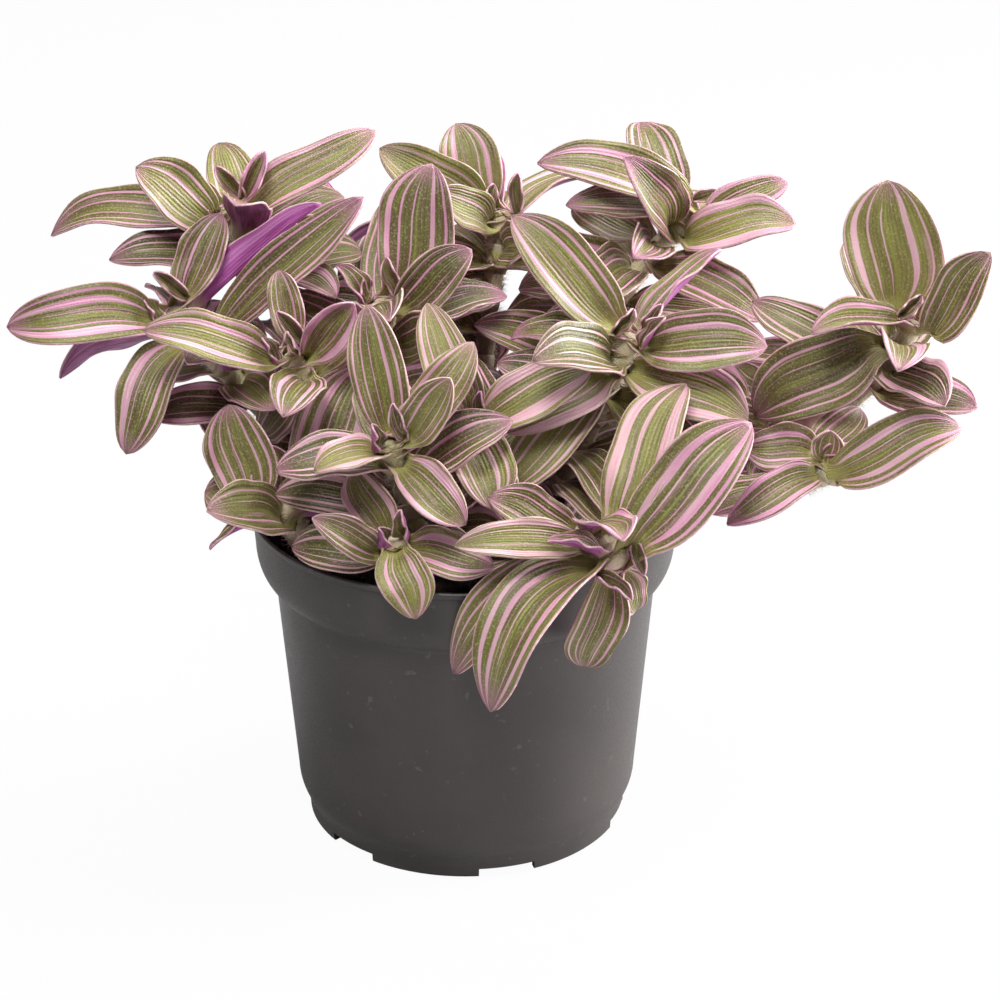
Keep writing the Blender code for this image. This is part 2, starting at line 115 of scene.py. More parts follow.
SHOOTS = (
    Shoot("front_right", 3.4, ((20, -28), (26, -37, 98), (34, -48, 105), (40, -57, 103)), (
        Leaf("long", 2, None, 21, 0.30, 40, -35, 8, "bold", 0.35, 0.6),
        Leaf("hanging", 10, None, 15, 0.30, 50, -30, 6, "fine", 0.4, 0.6),
        Leaf("rising", 0, None, 21, 0.10, 60, -20, 12, "bold", 0.35, 0.7),
        Leaf("pale", 6, None, 19, 0.12, 50, -35, 10, "pale", 0.6, 0.25),
        Leaf("young", 1, (22, -64, 113), 8, 0.05, 10, 0, 40, "fine", 0.5, 0.9),
        Leaf("side", 3, (59, -46, 110), 12, 0.12, 40, 30, 10, "plain", 0.15, 0.5),
        Leaf("below", 2, (29, -68, 72), 14, 0.20, 70, 10, 8, "fine", 0.4, 0.4),
        Leaf("below_right", 1, (37, -66, 76), 9, 0.15, 60, 30, 12, "margin", 0.6, 0.4),
        Leaf("inner", 9, (-2, -66, 112), 11, 0.16, 50, 0, 8, "margin", 0.6, 0.2),
    )),
    Shoot("front_centre", 2.4, ((-8, -20), (-14, -34, 106), (-19, -44, 131)), (
        Leaf("upright", 1, None, 15, 0.06, 70, 0, 12, "fine", 0.45, 0.5),
        Leaf("lower", 6, None, 13, 0.12, 55, 0, 8, "margin", 0.5, 0.5),
        Leaf("left", 2, (-38, -57, 135), 11, 0.16, 40, -20, 14, "margin", 0.8, 0.3),
        Leaf("right", 1, (-3, -34, 150), 12, 0.08, 60, 10, 10, "fine", 0.55, 0.4),
        Leaf("behind", 4, (-6, -24, 158), 13, 0.08, 60, 0, 10, "fine", 0.6, 0.5),
    )),
    Shoot("front_low", 2.2, ((-15, -38), (-17, -46, 98), (-18, -51, 106)), (
        Leaf("hanging", 0, None, 14, 0.22, 55, 0, 4, "bold", 0.7, 0.45),
        Leaf("upright", 2, (-29, -44, 122), 12, 0.08, 60, -20, 10, "margin", 0.5, 0.4),
        Leaf("left", 4, (-38, -50, 118), 10, 0.10, 60, -10, 12, "fine", 0.4, 0.5),
        Leaf("right", 3, (8, -62, 102), 13, 0.14, 50, 10, 8, "bold", 0.4, 0.6),
        Leaf("low_right", 5, (4, -66, 96), 12, 0.16, 50, 0, 8, "plain", 0.5, 0.4),
    )),
    Shoot("centre", 2.4, ((5, -6), (4, -18, 108), (2, -29, 129)), (
        Leaf("broad", 0, None, 16, 0.10, 45, -10, 8, "pale", 0.6, 0.3),
        Leaf("front", 2, None, 17, 0.16, 55, 10, 12, "fine", 0.6, 0.4),
        Leaf("left", 1, (-13, -34, 131), 9, 0.08, 30, 0, 20, "fine", 0.5, 0.4),
        Leaf("behind", 2, (0, -20, 146), 9, 0.04, 60, 0, 25, "plain", 0.2, 0.5),
        Leaf("upper", 9, (-10, -14, 154), 14, 0.12, 50, 0, 6, "fine", 0.8, 0.3),
        Leaf("low", 10, (14, -48, 112), 12, 0.10, 50, 0, 8, "margin", 0.4, 0.2),
    )),
    Shoot("rim_left", 3.0, ((-39, -25), (-44, -27, 96), (-50, -24, 108)), (
        Leaf("upright", 0, None, 19, 0.05, 70, -10, 14, "fine", 0.4, 0.6),
        Leaf("outer", 1, None, 15, 0.12, 50, 0, 8, "fine", 0.55, 0.5),
        Leaf("inner", 3, None, 22, 0.08, 60, 10, 10, "bold", 0.35, 0.6),
        Leaf("young", 0, (-37, -22, 119), 11, 0.04, 60, 20, 25, "fine", 0.4, 0.6),
        Leaf("low", 8, (-26, -44, 104), 12, 0.10, -30, 20, 8, "plain", 0.3, 0.8),
        Leaf("back", 9, (-72, 6, 126), 12, 0.10, 40, 0, 10, "plain", 0.5, 0.3),
        Leaf("low_left", 7, (-68, -30, 104), 9, 0.10, -30, 0, 10, "plain", 0.3, 0.9),
    )),
    Shoot("left_centre", 2.3, ((-22, -4), (-34, -6, 118), (-47, -11, 143)), (
        Leaf("outer", 1, None, 14, 0.14, 45, 0, 8, "bold", 0.6, 0.5),
        Leaf("folded", 4, None, 14, 0.04, 50, 30, 30, "margin", 0.4, 0.95),
        Leaf("up", 0, (-50, 0, 163), 10, 0.06, 60, 0, 20, "fine", 0.5, 0.6),
        Leaf("bud", 0, (-47, -16, 151), 5, 0.02, 60, 0, 60, "fine", 0.7, 0.6),
        Leaf("low", 10, (-20, -14, 150), 13, 0.10, 60, 10, 10, "fine", 0.6, 0.4),
        Leaf("dark", 12, (-38, -24, 138), 14, 0.10, 60, 0, 10, "plain", 0.2, 0.5),
        Leaf("under", 14, (-62, -14, 126), 14, 0.12, 50, -10, 8, "fine", 0.4, 0.6),
    )),
    Shoot("left", 2.6, ((-34, 8), (-54, 8, 116), (-70, 3, 138), (-79, 1, 150)), (
        Leaf("outer", 0, None, 17, 0.18, 50, 0, 8, "bold", 0.4, 0.75),
        Leaf("upright", 0, None, 14, 0.05, 65, -20, 20, "fine", 0.3, 0.7),
        Leaf("folded", 4, None, 13, 0.02, -40, 10, 35, "margin", 0.25, 1.0),
        Leaf("long", 14, None, 15, 0.05, 50, -20, 14, "fine", 0.3, 0.8),
        Leaf("hanging", 9, None, 16, 0.20, 50, -20, 8, "bold", 0.35, 0.6),
        Leaf("under", 5, (-112, 3, 131), 11, 0.12, -50, 0, 10, "plain", 0.3, 0.6),
        Leaf("low", 22, (-84, 20, 122), 15, 0.14, 30, -10, 8, "fine", 0.4, 0.5),
        Leaf("inner", 16, (-46, -4, 150), 14, 0.10, 50, 10, 10, "fine", 0.35, 0.6),
    )),
    Shoot("back_left", 2.4, ((-24, 18), (-42, 24, 125), (-58, 27, 155), (-66, 28, 170)), (
        Leaf("round", 0, None, 17, 0.08, 55, 10, 8, "fine", 0.55, 0.4),
        Leaf("outer", 3, None, 15, 0.16, 30, 0, 10, "fine", 0.4, 0.7),
        Leaf("top", 14, None, 15, 0.12, 30, 0, 6, "plain", 0.6, 0.3),
        Leaf("pale", 5, None, 14, 0.05, 40, 0, 10, "margin", 0.5, 0.6),
        Leaf("upper", 2, (-106, 42, 175), 12, 0.12, 30, 0, 12, "plain", 0.4, 0.6),
        Leaf("young", 0, (-55, 31, 186), 8, 0.03, 40, 30, 45, "margin", 0.3, 1.0),
        Leaf("inner", 10, (-34, 40, 172), 14, 0.10, 40, 0, 10, "fine", 0.5, 0.5),
        Leaf("rear", 16, (-66, 66, 160), 15, 0.14, -10, -20, 8, "fine", 0.5, 0.5),
    )),
    Shoot("crown", 2.4, ((-8, 8), (-18, 6, 120), (-23, 9, 150)), (
        Leaf("broad", 0, None, 22, 0.04, 70, 0, 8, "fine", 0.3, 0.7),
        Leaf("back", 6, None, 15, 0.10, 40, 0, 10, "fine", 0.4, 0.6),
        Leaf("young", 0, (-34, 6, 162), 9, 0.05, 30, 0, 35, "fine", 0.3, 0.9),
        Leaf("right", 3, (2, 12, 166), 14, 0.10, 60, 10, 12, "plain", 0.15, 0.7),
        Leaf("low", 12, (-4, -6, 150), 14, 0.12, 60, 10, 10, "plain", 0.2, 0.6),
        Leaf("side", 14, (-50, 16, 150), 14, 0.12, 50, -10, 10, "fine", 0.3, 0.7),
    )),
    Shoot("right_centre", 2.5, ((21, -4), (32, -6, 115), (45, -10, 147)), (
        Leaf("tall", 0, None, 18, 0.06, 60, 20, 8, "bold", 0.55, 0.5),
        Leaf("outer", 1, None, 18, 0.14, 50, 0, 6, "bold", 0.4, 0.75),
        Leaf("folded", 2, None, 12, 0.06, 10, -30, 30, "fine", 0.5, 0.9),
        Leaf("inner", 11, None, 17, 0.12, 50, 0, 6, "pale", 0.6, 0.3),
        Leaf("lower", 9, None, 18, 0.12, 45, 0, 8, "margin", 0.6, 0.4),
        Leaf("young", 0, (53, -6, 156), 6, 0.03, 50, 0, 50, "fine", 0.5, 0.9),
        Leaf("left", 5, (12, -2, 145), 12, 0.10, 20, 0, 14, "plain", 0.2, 0.9),
        Leaf("front", 16, (9, -50, 118), 16, 0.10, 50, 0, 6, "fine", 0.6, 0.2),
        Leaf("low_right", 18, (66, -30, 118), 16, 0.12, 50, 10, 8, "plain", 0.3, 0.4),
    )),
    Shoot("back_right", 2.4, ((18, 20), (36, 32, 128), (54, 42, 154), (66, 45, 162)), (
        Leaf("arched", 0, None, 16, 0.16, 40, 0, 6, "bold", 0.45, 0.6),
        Leaf("outer", 0, None, 13, 0.08, 40, 0, 16, "margin", 0.4, 0.85),
        Leaf("rear", 9, None, 16, 0.16, -20, 20, 8, "fine", 0.5, 0.6),
        Leaf("front", 8, (92, 28, 166), 17, 0.14, 40, 10, 8, "margin", 0.7, 0.6),
        Leaf("lower", 5, (28, 32, 172), 12, 0.12, 40, 0, 10, "fine", 0.35, 0.8),
        Leaf("inner", 10, (36, 24, 180), 16, 0.10, 50, 0, 16, "plain", 0.2, 0.9),
        Leaf("middle", 16, (50, 14, 165), 14, 0.10, 50, 10, 16, "fine", 0.2, 0.9),
        Leaf("right", 20, (84, 22, 146), 16, 0.14, 40, 10, 8, "fine", 0.3, 0.8),
        Leaf("dark", 24, (30, 8, 152), 16, 0.12, 50, 0, 10, "plain", 0.15, 0.7),
    )),
    Shoot("far_right", 2.5, ((38, 6), (60, 9, 110), (88, 7, 113), (110, 2, 128), (122, 0, 147)), (
        Leaf("broad", 0, None, 27, 0.06, 70, 0, 10, "fine", 0.7, 0.4),
        Leaf("outer", 0, None, 15, 0.06, 60, -20, 18, "fine", 0.35, 0.5),
        Leaf("folded", 1, None, 13, 0.10, 20, 0, 28, "margin", 0.5, 0.7),
        Leaf("long", 9, None, 22, 0.10, 55, 0, 6, "plain", 0.25, 0.5),
        Leaf("rear", 14, (104, 34, 136), 17, 0.14, 0, 0, 8, "fine", 0.5, 0.5),
        Leaf("low", 40, (84, 22, 128), 16, 0.14, 30, 0, 8, "fine", 0.4, 0.5),
    )),
    Shoot("right_low", 2.5, ((38, -14), (56, -18, 106), (78, -18, 102), (99, -15, 110)), (
        Leaf("outer", 0, None, 16, 0.14, 50, 0, 8, "bold", 0.5, 0.6),
        Leaf("inner", 1, (76, -8, 116), 14, 0.12, 50, 0, 8, "bold", 0.4, 0.7),
        Leaf("low", 3, (70, -24, 104), 12, 0.12, 40, 0, 16, "margin", 0.3, 0.8),
        Leaf("young", 0, (99, -11, 122), 10, 0.03, 60, 0, 25, "fine", 0.5, 0.5),
        Leaf("back", 1, (109, 2, 124), 12, 0.10, 50, 0, 10, "fine", 0.4, 0.5),
        Leaf("under", 14, (66, -30, 108), 12, 0.10, 30, 0, 10, "fine", 0.3, 0.8),
    )),
    Shoot("rear", 2.4, ((2, 26), (6, 36, 130), (10, 42, 164)), (
        Leaf("tall", 0, None, 18, 0.08, 60, 0, 8, "bold", 0.65, 0.4),
        Leaf("right", 4, None, 16, 0.18, -20, 10, 8, "fine", 0.5, 0.5),
        Leaf("outer", 8, None, 17, 0.20, -40, 0, 8, "bold", 0.5, 0.6),
        Leaf("left", 2, (-24, 46, 184), 16, 0.10, 50, 0, 10, "plain", 0.6, 0.3),
        Leaf("front", 4, (-8, 30, 176), 13, 0.10, 50, 0, 10, "plain", 0.5, 0.6),
        Leaf("young", 0, (6, 48, 180), 8, 0.03, 50, 20, 40, "margin", 0.4, 0.9),
        Leaf("middle", 10, (18, 24, 168), 14, 0.10, 60, 10, 10, "plain", 0.25, 0.8),
        Leaf("low", 16, (26, 62, 138), 16, 0.16, -30, 0, 8, "fine", 0.5, 0.5),
        Leaf("side", 20, (-22, 70, 140), 16, 0.16, -30, 0, 8, "fine", 0.4, 0.6),
    )),
    Shoot("rear_left", 2.4, ((-22, 30), (-34, 46, 120), (-46, 58, 144)), (
        Leaf("outer", 0, None, 16, 0.18, -20, -20, 8, "bold", 0.5, 0.6),
        Leaf("rear", 3, None, 17, 0.20, -40, 0, 8, "fine", 0.5, 0.5),
        Leaf("up", 0, (-44, 66, 168), 14, 0.06, -50, 0, 14, "fine", 0.4, 0.7),
        Leaf("inner", 6, (-14, 72, 156), 15, 0.14, -20, 0, 8, "fine", 0.5, 0.6),
        Leaf("low", 12, (-72, 52, 124), 16, 0.16, 0, -20, 8, "plain", 0.4, 0.5),
        Leaf("low_rear", 16, (-30, 84, 112), 16, 0.18, -40, 0, 8, "bold", 0.5, 0.6),
    )),
)

# Each stripe is (place across the blade from -1 to 1, half its width, how far along it reaches)
STRIPES = 6  # the most stripes that a blade has
NO_STRIPE = (0, -1, 1)
LOOKS = {
    "bold": ((-0.80, 0.06, 1), (-0.47, 0.12, 1), (-0.15, 0.02, 0.7), (0.30, 0.03, 0.9), (0.60, 0.15, 1)),
    "fine": ((-0.76, 0.05, 1), (-0.40, 0.07, 1), (0.15, 0.025, 0.75), (0.48, 0.04, 0.95), (0.80, 0.07, 1)),
    "margin": ((-0.86, 0.13, 1), (-0.50, 0.03, 0.9), (-0.2, 0.02, 0.6), (0.24, 0.03, 0.8), (0.72, 0.20, 1)),
    "plain": ((-0.66, 0.04, 1), (-0.30, 0.02, 0.6), (0.42, 0.045, 0.9), (0.80, 0.035, 1)),
    "pale": ((-0.62, 0.34, 1), (0.26, 0.06, 0.95), (0.76, 0.20, 1)),
}

# The leaves that fill the mound: levels along each stem in mm, leaves at each level, and places tried
INNER_FIRST = 8
INNER_STEP = 6.5
INNER_LEAVES = 4
INNER_TRIES = 26
INNER_TURN = 137.5
INNER_LAST = 9
SOIL_CLEARANCE = 5 * MM

# Small moves of a leaf's tip in mm, the ones that show least first
SETTLING = sorted(
    ((x, y, z) for x in (-9, -6, -3, 0, 3, 6, 9) for y in range(-16, 17, 4) for z in range(-9, 10, 3)),
    key=lambda move: 3 * abs(move[0]) + abs(move[1]) + 2 * abs(move[2]) + abs(move[1] * 0.45 + move[2]),
)

CAMERA_LENS = 103.4
CAMERA_TARGET = Vector((9.7, 0, 94.6)) * MM
CAMERA_ELEVATION = math.radians(24.6)
CAMERA_DISTANCE = 801 * MM


# ---- Materials -------------------------------------------------------------------------------


class Nodes:
    """A short way to write a node tree: each call adds a node, links its inputs, returns its output."""

    def __init__(self, name):
        self.material = bpy.data.materials.new(name)
        self.material.use_nodes = True
        self.tree = self.material.node_tree
        self.shader = self.tree.nodes["Principled BSDF"]

    def put(self, socket, value):
        if isinstance(value, bpy.types.NodeSocket):
            self.tree.links.new(value, socket)
        elif isinstance(value, tuple) and len(value) == 3 and socket.type == "RGBA":
            socket.default_value = (*value, 1)
        else:
            socket.default_value = value

    def math(self, operation, *values, clamp=False):
        node = self.tree.nodes.new("ShaderNodeMath")
        node.operation = operation
        node.use_clamp = clamp
        for socket, value in zip(node.inputs, values):
            self.put(socket, value)
        return node.outputs[0]

    def mix(self, factor, first, second):
        node = self.tree.nodes.new("ShaderNodeMix")
        node.data_type = "RGBA"
        for socket, value in zip((node.inputs[0], node.inputs[6], node.inputs[7]), (factor, first, second)):
            self.put(socket, value)
        return node.outputs[2]

    def span(self, value, low, high, to_low=0.0, to_high=1.0):
        """The value eased from one range to another, clamped."""
        node = self.tree.nodes.new("ShaderNodeMapRange")
        node.interpolation_type = "SMOOTHSTEP"
        for socket, number in zip(node.inputs, (value, low, high, to_low, to_high)):
            self.put(socket, number)
        return node.outputs[0]

    def noise(self, vector, scale, detail=2.0):
        node = self.tree.nodes.new("ShaderNodeTexNoise")
        self.put(node.inputs["Vector"], vector)
        node.inputs["Scale"].default_value = scale
        node.inputs["Detail"].default_value = detail
        return node.outputs[0]

    def combine(self, x, y, z):
        node = self.tree.nodes.new("ShaderNodeCombineXYZ")
        for socket, value in zip(node.inputs, (x, y, z)):
            self.put(socket, value)
        return node.outputs[0]

    def attribute(self, name):
        """The three numbers of a named attribute."""
        node = self.tree.nodes.new("ShaderNodeAttribute")
        node.attribute_name = name
        parts = self.tree.nodes.new("ShaderNodeSeparateXYZ")
        self.put(parts.inputs[0], node.outputs["Vector"])
        return parts.outputs

    def place(self):
        return self.tree.nodes.new("ShaderNodeTexCoord").outputs["Object"]

    def bump(self, height, strength, distance):
        node = self.tree.nodes.new("ShaderNodeBump")
        node.inputs["Strength"].default_value = strength
        node.inputs["Distance"].default_value = distance
        self.put(node.inputs["Height"], height)
        self.put(self.shader.inputs["Normal"], node.outputs[0])

    def finish(self, **sockets):
        for name, value in sockets.items():
            self.put(self.shader.inputs[name.replace("_", " ")], value)
        return self.material


def blade_coordinates(n):
    across, along, seed = n.attribute("blade")
    tone, blush, _ = n.attribute("blade_look")
    wobble = n.noise(n.combine(n.math("MULTIPLY", across, 1.5), n.math("MULTIPLY", along, 3), seed), 1.0)
    across = n.math("ADD", across, n.math("MULTIPLY", n.math("SUBTRACT", wobble, 0.5), 0.10))
    return across, along, seed, tone, blush


def stripe_mask(n, across, along, seed):
    """1 inside a stripe: each one tapers at the base and ends where its reach says."""
    total = 0.0
    for index in range(STRIPES):
        centre, half, reach = n.attribute(f"stripe_{index + 1}")
        opening = n.span(along, 0.02, 0.35, 0.35, 1.0)
        ending = n.span(along, reach, n.math("ADD", reach, 0.12), 1.0, 0.0)
        taper = n.math("MULTIPLY", opening, ending)
        width = n.math("MULTIPLY", half, taper)
        inside = n.math("SUBTRACT", width, n.math("ABSOLUTE", n.math("SUBTRACT", across, centre)))
        total = n.math("MAXIMUM", total, n.span(inside, -0.012, 0.018))
    broken = n.noise(n.combine(n.math("MULTIPLY", across, 9), n.math("MULTIPLY", along, 1.2), seed), 1.0, 3.0)
    thin = n.span(broken, 0.60, 0.66)
    return n.math("MAXIMUM", total, n.math("MULTIPLY", thin, 0.3))


def leaf_top():
    n = Nodes("leaf_upper_side")
    across, along, seed, tone, blush = blade_coordinates(n)
    streaks = n.noise(n.combine(n.math("MULTIPLY", across, 24), n.math("MULTIPLY", along, 2), seed), 1.0, 3.0)
    patches = n.noise(n.combine(n.math("MULTIPLY", across, 3), n.math("MULTIPLY", along, 2.5), seed), 1.0)
    shade = n.math("ADD", tone, n.math("MULTIPLY", n.math("SUBTRACT", patches, 0.5), 0.9), clamp=True)
    green = n.mix(shade, (0.054, 0.051, 0.008), (0.29, 0.28, 0.066))
    streak = n.mix(shade, (0.13, 0.12, 0.024), (0.38, 0.37, 0.12))
    green = n.mix(n.span(streaks, 0.45, 0.75, 0.0, 0.55), green, streak)
    mauve = n.math("MULTIPLY", blush, n.span(patches, 0.40, 0.62, 0.45, 0.0))
    green = n.mix(mauve, green, (0.16, 0.075, 0.055))
    lines = n.math("SINE", n.math("MULTIPLY", across, 70))
    green = n.mix(n.span(lines, -0.2, 1.0, 0.0, 0.22), green, (0.030, 0.032, 0.007))
    pink = n.mix(blush, (0.68, 0.42, 0.42), (0.58, 0.20, 0.40))
    pink = n.mix(n.span(patches, 0.35, 0.65, 0.0, 0.5), pink, (0.74, 0.50, 0.55))
    colour = n.mix(stripe_mask(n, across, along, seed), green, pink)
    edge = n.span(n.math("ABSOLUTE", across), 0.965, 0.99)
    colour = n.mix(edge, colour, n.mix(blush, (0.60, 0.44, 0.32), (0.58, 0.24, 0.38)))
    tinge = n.math("MULTIPLY", n.span(along, 0.78, 1.0, 0.0, 0.7), blush)
    colour = n.mix(tinge, colour, (0.52, 0.18, 0.34))
    rib = n.span(n.math("ABSOLUTE", across), n.span(along, 0.0, 0.9, 0.10, 0.02), 0.0)
    colour = n.mix(n.math("MULTIPLY", rib, 0.6), colour, (0.27, 0.29, 0.05))
    base = n.span(along, 0.16, 0.0)
    colour = n.mix(n.math("MULTIPLY", base, 0.85), colour, (0.46, 0.44, 0.13))
    grain = n.noise(n.place(), 1900, 1.0)
    colour = n.mix(n.span(grain, 0.52, 0.72, 0.0, 0.34), colour, (0.56, 0.50, 0.25))
    veins = n.math("SINE", n.math("MULTIPLY", across, 46))
    n.bump(n.math("ADD", n.math("MULTIPLY", veins, 0.35), grain), 0.5, 0.0003)
    return n.finish(Base_Color=colour, Roughness=n.span(grain, 0.3, 0.7, 0.38, 0.55))


def leaf_under():
    n = Nodes("leaf_under_side")
    across, along, seed, _, blush = blade_coordinates(n)
    cloud = n.noise(n.combine(n.math("MULTIPLY", across, 3), n.math("MULTIPLY", along, 3), seed), 1.0)
    dusk = n.mix(blush, (0.20, 0.09, 0.10), (0.30, 0.05, 0.22))
    # The brighter cloud is partly the underside's own mauve and partly painted glow: its saturated magenta
    # stands in for light shining through the blade from behind.
    bright_mauve_and_glow = n.mix(blush, (0.40, 0.20, 0.27), (0.50, 0.12, 0.42))
    colour = n.mix(n.span(cloud, 0.35, 0.65), dusk, bright_mauve_and_glow)
    stripes = stripe_mask(n, across, along, seed)
    stripe_colour = n.mix(blush, (0.55, 0.34, 0.40), (0.60, 0.24, 0.52))
    colour = n.mix(n.math("MULTIPLY", stripes, 0.55), colour, stripe_colour)
    edge = n.span(n.math("ABSOLUTE", across), 0.95, 0.985)
    colour = n.mix(edge, colour, (0.62, 0.46, 0.40))
    base = n.span(along, 0.16, 0.0)
    colour = n.mix(n.math("MULTIPLY", base, 0.85), colour, (0.46, 0.44, 0.16))
    grain = n.noise(n.place(), 2200, 1.0)
    veins = n.math("SINE", n.math("MULTIPLY", across, 46))
    n.bump(n.math("ADD", n.math("MULTIPLY", veins, 0.5), grain), 0.35, 0.0003)
    return n.finish(Base_Color=colour, Roughness=n.span(grain, 0.3, 0.7, 0.42, 0.58))


def leaf_edge():
    n = Nodes("leaf_edge")
    _, blush, _ = n.attribute("blade_look")
    grain = n.noise(n.place(), 900, 2.0)
    colour = n.mix(blush, (0.60, 0.42, 0.34), (0.54, 0.24, 0.36))
    colour = n.mix(n.span(grain, 0.4, 0.8), colour, (0.70, 0.56, 0.50))
    return n.finish(Base_Color=colour, Roughness=n.span(grain, 0.3, 0.7, 0.45, 0.6))


def stem_skin():
    n = Nodes("stem_skin")
    place = n.place()
    blotch = n.noise(place, 90, 3.0)
    fine = n.noise(place, 1500, 2.0)
    colour = n.mix(n.span(blotch, 0.4, 0.7), (0.40, 0.39, 0.14), (0.50, 0.44, 0.26))
    colour = n.mix(n.span(n.noise(place, 160, 2.0), 0.60, 0.72, 0.0, 0.55), colour, (0.30, 0.10, 0.13))
    colour = n.mix(n.span(fine, 0.5, 0.8, 0.0, 0.3), colour, (0.62, 0.58, 0.40))
    n.bump(fine, 0.4, 0.0003)
    return n.finish(Base_Color=colour, Roughness=n.span(fine, 0.3, 0.7, 0.4, 0.6))


def sheath_skin():
    n = Nodes("sheath_skin")
    place = n.place()
    fine = n.noise(place, 1400, 2.0)
    blotch = n.noise(place, 200, 2.0)
    colour = n.mix(blotch, (0.60, 0.52, 0.30), (0.66, 0.58, 0.44))
    colour = n.mix(n.span(fine, 0.55, 0.75, 0.0, 0.4), colour, (0.42, 0.30, 0.20))
    n.bump(fine, 0.5, 0.0003)
    return n.finish(Base_Color=colour, Roughness=n.span(fine, 0.3, 0.7, 0.45, 0.6))


def hair_white():
    n = Nodes("hair_white")
    fine = n.noise(n.place(), 500, 1.0)
    colour = n.mix(fine, (0.70, 0.66, 0.56), (0.84, 0.80, 0.74))
    return n.finish(Base_Color=colour, Roughness=n.span(fine, 0, 1, 0.4, 0.6))


def pot_plastic():
    n = Nodes("pot_plastic")
    place = n.place()
    cloud = n.noise(place, 28, 4.0)
    grain = n.noise(place, 1800, 2.0)
    colour = n.mix(n.span(cloud, 0.35, 0.65), (0.038, 0.032, 0.030), (0.052, 0.044, 0.041))
    scuffs = n.noise(place, 260, 4.0)
    colour = n.mix(n.span(scuffs, 0.66, 0.72, 0.0, 0.35), colour, (0.14, 0.13, 0.12))
    n.bump(n.math("ADD", grain, n.math("MULTIPLY", cloud, 0.5)), 0.18, 0.0002)
    rough = n.math("ADD", n.span(grain, 0.3, 0.7, 0.44, 0.56), n.span(cloud, 0.3, 0.7, -0.05, 0.05))
    return n.finish(Base_Color=colour, Roughness=rough)


def soil_mix():
    n = Nodes("soil_mix")
    place = n.place()
    coarse = n.noise(place, 350, 5.0)
    fine = n.noise(place, 1500, 3.0)
    colour = n.mix(n.span(coarse, 0.4, 0.7), (0.012, 0.008, 0.005), (0.055, 0.032, 0.017))
    colour = n.mix(n.span(fine, 0.62, 0.75, 0.0, 0.5), colour, (0.14, 0.09, 0.05))
    n.bump(n.math("ADD", coarse, fine), 0.8, 0.0008)
    return n.finish(Base_Color=colour, Roughness=n.span(fine, 0.3, 0.7, 0.85, 0.98))


# ---- Meshes ----------------------------------------------------------------------------------


def add_object(name, mesh, *materials):
    obj = bpy.data.objects.new(name, mesh)
    bpy.context.scene.collection.objects.link(obj)
    for material in materials:
        mesh.materials.append(material)
    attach(obj, "root")
    return obj


def smooth_route(points, spacing):
    ends = [2 * points[0] - points[1], *points, 2 * points[-1] - points[-2]]
    route = []
    for before, start, end, after in zip(ends, ends[1:], ends[2:], ends[3:]):
        count = max(2, round((end - start).length / spacing))
        for step in range(count):
            t = step / count
            route.append(0.5 * (
                2 * start + (end - before) * t
                + (2 * before - 5 * start + 4 * end - after) * t * t
                + (3 * start - before - 3 * end + after) * t * t * t
            ))
    return [*route, points[-1]]


def stem_route(shoot, spacing=STEM_SPACING):
    root = Vector((*shoot.route[0], 0)) * MM
    root.z = SOIL_TOP + GAP
    rise = root + Vector((0, 0, 4 * MM))
    others = [Vector(point) * MM for point in shoot.route[1:]]
    return [root, *smooth_route([rise, *others], spacing)]


def along_from_tip(route, distance):
    for upper, lower in zip(reversed(route), reversed(route[:-1])):
        step = (upper - lower).length
        if distance <= step:
            return upper.lerp(lower, distance / step), (upper - lower).normalized()
        distance -= step
    return route[0], Vector((0, 0, 1))


def blade_profile(along):
    return max((1 - abs(2 * along**0.85 - 1) ** 2.5) ** 0.72, BASE_SHARE * (1 - along))


def facing(leaf):
    side = math.tan(math.radians(leaf.right))
    return Vector((side, -math.tan(math.radians(leaf.front)), 1)).normalized()


